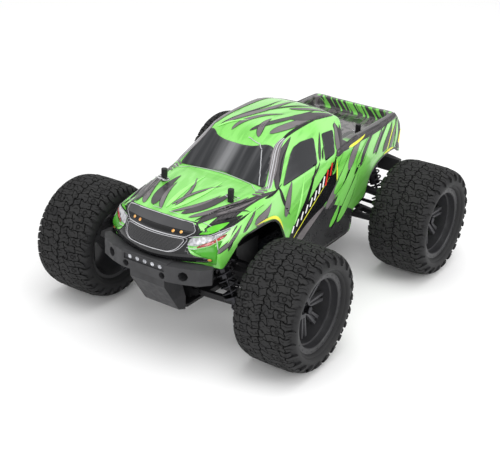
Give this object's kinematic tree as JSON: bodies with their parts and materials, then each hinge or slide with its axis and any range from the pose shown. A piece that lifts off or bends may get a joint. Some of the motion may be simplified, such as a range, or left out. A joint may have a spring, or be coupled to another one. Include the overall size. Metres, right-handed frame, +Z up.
{
  "type": "rc monster truck",
  "caption": "Radio-controlled monster truck with a pickup body, big lugged tyres, sprung wishbone suspension, steering, drive shafts and bumpers.",
  "frame": {"origin": "on the ground, midway between the axles, under the truck's centre line", "axes": "+Z up, front towards -Y, the truck's left side towards +X"},
  "size_m": [0.3202, 0.412, 0.1925],
  "materials": {
    "painted_shell": "glossy printed polycarbonate, green with grey and black",
    "dark_plastic": "moulded nylon, satin",
    "grey_plastic": "moulded nylon, matt",
    "tyre_rubber": "matt rubber",
    "wheel_plastic": "satin black plastic",
    "steel": "bright",
    "black_steel": "black oxide",
    "shock_metal": "black anodised",
    "battery_wrap": "shrink-wrapped"
  },
  "bodies": {
    "chassis": {"chassis_plate": "dark_plastic", "body_shell": "painted_shell", "front_gearbox": "dark_plastic", "rear_gearbox": "dark_plastic", "front_shock_tower": "dark_plastic", "rear_shock_tower": "dark_plastic", "front_bumper": "grey_plastic", "rear_bumper": "dark_plastic", "motor": "steel", "battery_pack": "battery_wrap", "electronics_box": "dark_plastic", "steering_servo": "dark_plastic"},
    "front_left_lower_arm": {"front_left_lower_arm": "dark_plastic"},
    "front_left_upper_arm": {"front_left_upper_arm": "dark_plastic"},
    "front_left_hub_carrier": {"front_left_hub_carrier": "grey_plastic"},
    "front_left_driveshaft": {"front_left_driveshaft": "black_steel"},
    "front_left_shock_body": {"front_left_shock_body": "shock_metal", "front_left_shock_spring": "black_steel"},
    "front_left_shock_shaft": {"front_left_shock_shaft": "steel"},
    "front_left_steering_knuckle": {"front_left_steering_knuckle": "grey_plastic"},
    "front_left_wheel": {"front_left_rim": "wheel_plastic", "front_left_tyre": "tyre_rubber"},
    "front_left_body_clip": {"front_left_body_clip": "steel"},
    "front_right_lower_arm": {"front_right_lower_arm": "dark_plastic"},
    "front_right_upper_arm": {"front_right_upper_arm": "dark_plastic"},
    "front_right_hub_carrier": {"front_right_hub_carrier": "grey_plastic"},
    "front_right_driveshaft": {"front_right_driveshaft": "black_steel"},
    "front_right_shock_body": {"front_right_shock_body": "shock_metal", "front_right_shock_spring": "black_steel"},
    "front_right_shock_shaft": {"front_right_shock_shaft": "steel"},
    "front_right_steering_knuckle": {"front_right_steering_knuckle": "grey_plastic"},
    "front_right_wheel": {"front_right_rim": "wheel_plastic", "front_right_tyre": "tyre_rubber"},
    "front_right_body_clip": {"front_right_body_clip": "steel"},
    "rear_left_lower_arm": {"rear_left_lower_arm": "dark_plastic"},
    "rear_left_upper_arm": {"rear_left_upper_arm": "dark_plastic"},
    "rear_left_hub_carrier": {"rear_left_hub_carrier": "grey_plastic"},
    "rear_left_driveshaft": {"rear_left_driveshaft": "black_steel"},
    "rear_left_shock_body": {"rear_left_shock_body": "shock_metal", "rear_left_shock_spring": "black_steel"},
    "rear_left_shock_shaft": {"rear_left_shock_shaft": "steel"},
    "rear_left_wheel": {"rear_left_rim": "wheel_plastic", "rear_left_tyre": "tyre_rubber"},
    "rear_left_body_clip": {"rear_left_body_clip": "steel"},
    "rear_right_lower_arm": {"rear_right_lower_arm": "dark_plastic"},
    "rear_right_upper_arm": {"rear_right_upper_arm": "dark_plastic"},
    "rear_right_hub_carrier": {"rear_right_hub_carrier": "grey_plastic"},
    "rear_right_driveshaft": {"rear_right_driveshaft": "black_steel"},
    "rear_right_shock_body": {"rear_right_shock_body": "shock_metal", "rear_right_shock_spring": "black_steel"},
    "rear_right_shock_shaft": {"rear_right_shock_shaft": "steel"},
    "rear_right_wheel": {"rear_right_rim": "wheel_plastic", "rear_right_tyre": "tyre_rubber"},
    "rear_right_body_clip": {"rear_right_body_clip": "steel"},
    "servo_horn": {"servo_horn": "grey_plastic"},
    "drag_link": {"steering_drag_link": "black_steel"},
    "left_tie_rod": {"left_tie_rod": "black_steel"},
    "right_tie_rod": {"right_tie_rod": "black_steel"},
    "centre_shaft": {"centre_shaft_spur_gear": "black_steel"},
    "pinion": {"motor_pinion": "steel"}
  },
  "joints": [
    {"name": "front_left_lower_arm_hinge", "type": "hinge", "parent": "chassis", "child": "front_left_lower_arm", "pos_m": [0.021, -0.13, 0.04888], "axis": [0, -1, 0], "range_deg": [-10, 18], "stiffness_Nm_per_rad": 2, "springref_deg": -3.32},
    {"name": "front_left_upper_arm_hinge", "type": "hinge", "parent": "chassis", "child": "front_left_upper_arm", "pos_m": [0.02, -0.13, 0.07888], "axis": [0, -1, 0], "range_deg": [-10, 18]},
    {"name": "front_left_hub_carrier_hinge", "type": "hinge", "parent": "front_left_lower_arm", "child": "front_left_hub_carrier", "pos_m": [0.083, -0.13, 0.04688], "axis": [0, -1, 0], "range_deg": [-18, 10]},
    {"name": "front_left_driveshaft_joint", "type": "hinge", "parent": "chassis", "child": "front_left_driveshaft", "pos_m": [0.025, -0.13, 0.06438], "axis": [0, -1, 0], "range_deg": [-9, 16]},
    {"name": "front_left_shock_upper_eye", "type": "hinge", "parent": "chassis", "child": "front_left_shock_body", "pos_m": [0.041, -0.149, 0.11498], "axis": [0, -1, 0], "range_deg": [-3, 5]},
    {"name": "front_left_shock_stroke", "type": "slide", "parent": "front_left_shock_body", "child": "front_left_shock_shaft", "axis": [0.4095, 0, -0.9123], "range_m": [-0.015, 0.0085], "deforming": ["front_left_shock_spring"]},
    {"name": "front_left_kingpin", "type": "hinge", "parent": "front_left_hub_carrier", "child": "front_left_steering_knuckle", "pos_m": [0.097, -0.13, 0.06238], "axis": [0, 0, 1], "range_deg": [-20, 20]},
    {"name": "front_left_wheel_axle", "type": "hinge", "parent": "front_left_steering_knuckle", "child": "front_left_wheel", "pos_m": [0.125, -0.13, 0.06238], "axis": [1, 0, 0], "continuous": true},
    {"name": "front_left_body_clip_pull", "type": "slide", "parent": "chassis", "child": "front_left_body_clip", "axis": [-1, 0, 0], "range_m": [0, 0.014]},
    {"name": "front_right_lower_arm_hinge", "type": "hinge", "parent": "chassis", "child": "front_right_lower_arm", "pos_m": [-0.021, -0.13, 0.04888], "axis": [0, 1, 0], "range_deg": [-10, 18], "stiffness_Nm_per_rad": 2, "springref_deg": -3.32},
    {"name": "front_right_upper_arm_hinge", "type": "hinge", "parent": "chassis", "child": "front_right_upper_arm", "pos_m": [-0.02, -0.13, 0.07888], "axis": [0, 1, 0], "range_deg": [-10, 18]},
    {"name": "front_right_hub_carrier_hinge", "type": "hinge", "parent": "front_right_lower_arm", "child": "front_right_hub_carrier", "pos_m": [-0.083, -0.13, 0.04688], "axis": [0, 1, 0], "range_deg": [-18, 10]},
    {"name": "front_right_driveshaft_joint", "type": "hinge", "parent": "chassis", "child": "front_right_driveshaft", "pos_m": [-0.025, -0.13, 0.06438], "axis": [0, 1, 0], "range_deg": [-9, 16]},
    {"name": "front_right_shock_upper_eye", "type": "hinge", "parent": "chassis", "child": "front_right_shock_body", "pos_m": [-0.041, -0.149, 0.11498], "axis": [0, 1, 0], "range_deg": [-3, 5]},
    {"name": "front_right_shock_stroke", "type": "slide", "parent": "front_right_shock_body", "child": "front_right_shock_shaft", "axis": [-0.4095, 0, -0.9123], "range_m": [-0.015, 0.0085], "deforming": ["front_right_shock_spring"]},
    {"name": "front_right_kingpin", "type": "hinge", "parent": "front_right_hub_carrier", "child": "front_right_steering_knuckle", "pos_m": [-0.097, -0.13, 0.06238], "axis": [0, 0, 1], "range_deg": [-20, 20]},
    {"name": "front_right_wheel_axle", "type": "hinge", "parent": "front_right_steering_knuckle", "child": "front_right_wheel", "pos_m": [-0.125, -0.13, 0.06238], "axis": [1, 0, 0], "continuous": true},
    {"name": "front_right_body_clip_pull", "type": "slide", "parent": "chassis", "child": "front_right_body_clip", "axis": [1, 0, 0], "range_m": [0, 0.014]},
    {"name": "rear_left_lower_arm_hinge", "type": "hinge", "parent": "chassis", "child": "rear_left_lower_arm", "pos_m": [0.021, 0.13, 0.04888], "axis": [0, -1, 0], "range_deg": [-10, 18], "stiffness_Nm_per_rad": 2, "springref_deg": -3.32},
    {"name": "rear_left_upper_arm_hinge", "type": "hinge", "parent": "chassis", "child": "rear_left_upper_arm", "pos_m": [0.02, 0.13, 0.07888], "axis": [0, -1, 0], "range_deg": [-10, 18]},
    {"name": "rear_left_hub_carrier_hinge", "type": "hinge", "parent": "rear_left_lower_arm", "child": "rear_left_hub_carrier", "pos_m": [0.083, 0.13, 0.04688], "axis": [0, -1, 0], "range_deg": [-18, 10]},
    {"name": "rear_left_driveshaft_joint", "type": "hinge", "parent": "chassis", "child": "rear_left_driveshaft", "pos_m": [0.025, 0.13, 0.06438], "axis": [0, -1, 0], "range_deg": [-9, 16]},
    {"name": "rear_left_shock_upper_eye", "type": "hinge", "parent": "chassis", "child": "rear_left_shock_body", "pos_m": [0.041, 0.149, 0.11498], "axis": [0, -1, 0], "range_deg": [-3, 5]},
    {"name": "rear_left_shock_stroke", "type": "slide", "parent": "rear_left_shock_body", "child": "rear_left_shock_shaft", "axis": [0.4095, 0, -0.9123], "range_m": [-0.015, 0.0085], "deforming": ["rear_left_shock_spring"]},
    {"name": "rear_left_wheel_axle", "type": "hinge", "parent": "rear_left_hub_carrier", "child": "rear_left_wheel", "pos_m": [0.125, 0.13, 0.06238], "axis": [1, 0, 0], "continuous": true},
    {"name": "rear_left_body_clip_pull", "type": "slide", "parent": "chassis", "child": "rear_left_body_clip", "axis": [-1, 0, 0], "range_m": [0, 0.014]},
    {"name": "rear_right_lower_arm_hinge", "type": "hinge", "parent": "chassis", "child": "rear_right_lower_arm", "pos_m": [-0.021, 0.13, 0.04888], "axis": [0, 1, 0], "range_deg": [-10, 18], "stiffness_Nm_per_rad": 2, "springref_deg": -3.32},
    {"name": "rear_right_upper_arm_hinge", "type": "hinge", "parent": "chassis", "child": "rear_right_upper_arm", "pos_m": [-0.02, 0.13, 0.07888], "axis": [0, 1, 0], "range_deg": [-10, 18]},
    {"name": "rear_right_hub_carrier_hinge", "type": "hinge", "parent": "rear_right_lower_arm", "child": "rear_right_hub_carrier", "pos_m": [-0.083, 0.13, 0.04688], "axis": [0, 1, 0], "range_deg": [-18, 10]},
    {"name": "rear_right_driveshaft_joint", "type": "hinge", "parent": "chassis", "child": "rear_right_driveshaft", "pos_m": [-0.025, 0.13, 0.06438], "axis": [0, 1, 0], "range_deg": [-9, 16]},
    {"name": "rear_right_shock_upper_eye", "type": "hinge", "parent": "chassis", "child": "rear_right_shock_body", "pos_m": [-0.041, 0.149, 0.11498], "axis": [0, 1, 0], "range_deg": [-3, 5]},
    {"name": "rear_right_shock_stroke", "type": "slide", "parent": "rear_right_shock_body", "child": "rear_right_shock_shaft", "axis": [-0.4095, 0, -0.9123], "range_m": [-0.015, 0.0085], "deforming": ["rear_right_shock_spring"]},
    {"name": "rear_right_wheel_axle", "type": "hinge", "parent": "rear_right_hub_carrier", "child": "rear_right_wheel", "pos_m": [-0.125, 0.13, 0.06238], "axis": [1, 0, 0], "continuous": true},
    {"name": "rear_right_body_clip_pull", "type": "slide", "parent": "chassis", "child": "rear_right_body_clip", "axis": [1, 0, 0], "range_m": [0, 0.014]},
    {"name": "servo_horn_turn", "type": "hinge", "parent": "chassis", "child": "servo_horn", "pos_m": [0.018, -0.08, 0.08], "axis": [0, 0, 1], "range_deg": [-20, 20]},
    {"name": "drag_link_slide", "type": "slide", "parent": "chassis", "child": "drag_link", "axis": [1, 0, 0], "range_m": [-0.0089, 0.0089]},
    {"name": "left_tie_rod_hinge", "type": "hinge", "parent": "drag_link", "child": "left_tie_rod", "pos_m": [0.035, -0.105, 0.07438], "axis": [0, -1, 0], "range_deg": [-10, 18]},
    {"name": "right_tie_rod_hinge", "type": "hinge", "parent": "drag_link", "child": "right_tie_rod", "pos_m": [-0.035, -0.105, 0.07438], "axis": [0, 1, 0], "range_deg": [-10, 18]},
    {"name": "centre_shaft_spin", "type": "hinge", "parent": "chassis", "child": "centre_shaft", "pos_m": [0, 0.044, 0.062], "axis": [0, 1, 0], "continuous": true},
    {"name": "pinion_spin", "type": "hinge", "parent": "chassis", "child": "pinion", "pos_m": [-0.0225, 0.044, 0.062], "axis": [0, 1, 0], "continuous": true}
  ],
  "couplings": [
    {"joint": "front_left_upper_arm_hinge", "follows": "front_left_lower_arm_hinge", "ratio": 1},
    {"joint": "front_left_hub_carrier_hinge", "follows": "front_left_lower_arm_hinge", "ratio": -1},
    {"joint": "front_left_driveshaft_joint", "follows": "front_left_lower_arm_hinge", "ratio": 0.861},
    {"joint": "front_left_shock_upper_eye", "follows": "front_left_lower_arm_hinge", "ratio": 0.235},
    {"joint": "front_left_shock_stroke", "follows": "front_left_lower_arm_hinge", "m_per_rad": -0.0458},
    {"joint": "front_left_kingpin", "follows": "servo_horn_turn", "ratio": -1},
    {"joint": "front_right_upper_arm_hinge", "follows": "front_right_lower_arm_hinge", "ratio": 1},
    {"joint": "front_right_hub_carrier_hinge", "follows": "front_right_lower_arm_hinge", "ratio": -1},
    {"joint": "front_right_driveshaft_joint", "follows": "front_right_lower_arm_hinge", "ratio": 0.861},
    {"joint": "front_right_shock_upper_eye", "follows": "front_right_lower_arm_hinge", "ratio": 0.235},
    {"joint": "front_right_shock_stroke", "follows": "front_right_lower_arm_hinge", "m_per_rad": -0.0458},
    {"joint": "front_right_kingpin", "follows": "servo_horn_turn", "ratio": -1},
    {"joint": "rear_left_upper_arm_hinge", "follows": "rear_left_lower_arm_hinge", "ratio": 1},
    {"joint": "rear_left_hub_carrier_hinge", "follows": "rear_left_lower_arm_hinge", "ratio": -1},
    {"joint": "rear_left_driveshaft_joint", "follows": "rear_left_lower_arm_hinge", "ratio": 0.861},
    {"joint": "rear_left_shock_upper_eye", "follows": "rear_left_lower_arm_hinge", "ratio": 0.235},
    {"joint": "rear_left_shock_stroke", "follows": "rear_left_lower_arm_hinge", "m_per_rad": -0.0458},
    {"joint": "rear_right_upper_arm_hinge", "follows": "rear_right_lower_arm_hinge", "ratio": 1},
    {"joint": "rear_right_hub_carrier_hinge", "follows": "rear_right_lower_arm_hinge", "ratio": -1},
    {"joint": "rear_right_driveshaft_joint", "follows": "rear_right_lower_arm_hinge", "ratio": 0.861},
    {"joint": "rear_right_shock_upper_eye", "follows": "rear_right_lower_arm_hinge", "ratio": 0.235},
    {"joint": "rear_right_shock_stroke", "follows": "rear_right_lower_arm_hinge", "m_per_rad": -0.0458},
    {"joint": "drag_link_slide", "follows": "servo_horn_turn", "m_per_rad": 0.025},
    {"joint": "left_tie_rod_hinge", "follows": "front_left_lower_arm_hinge", "ratio": 1},
    {"joint": "right_tie_rod_hinge", "follows": "front_right_lower_arm_hinge", "ratio": 1},
    {"joint": "pinion_spin", "follows": "centre_shaft_spin", "ratio": -2}
  ]
}
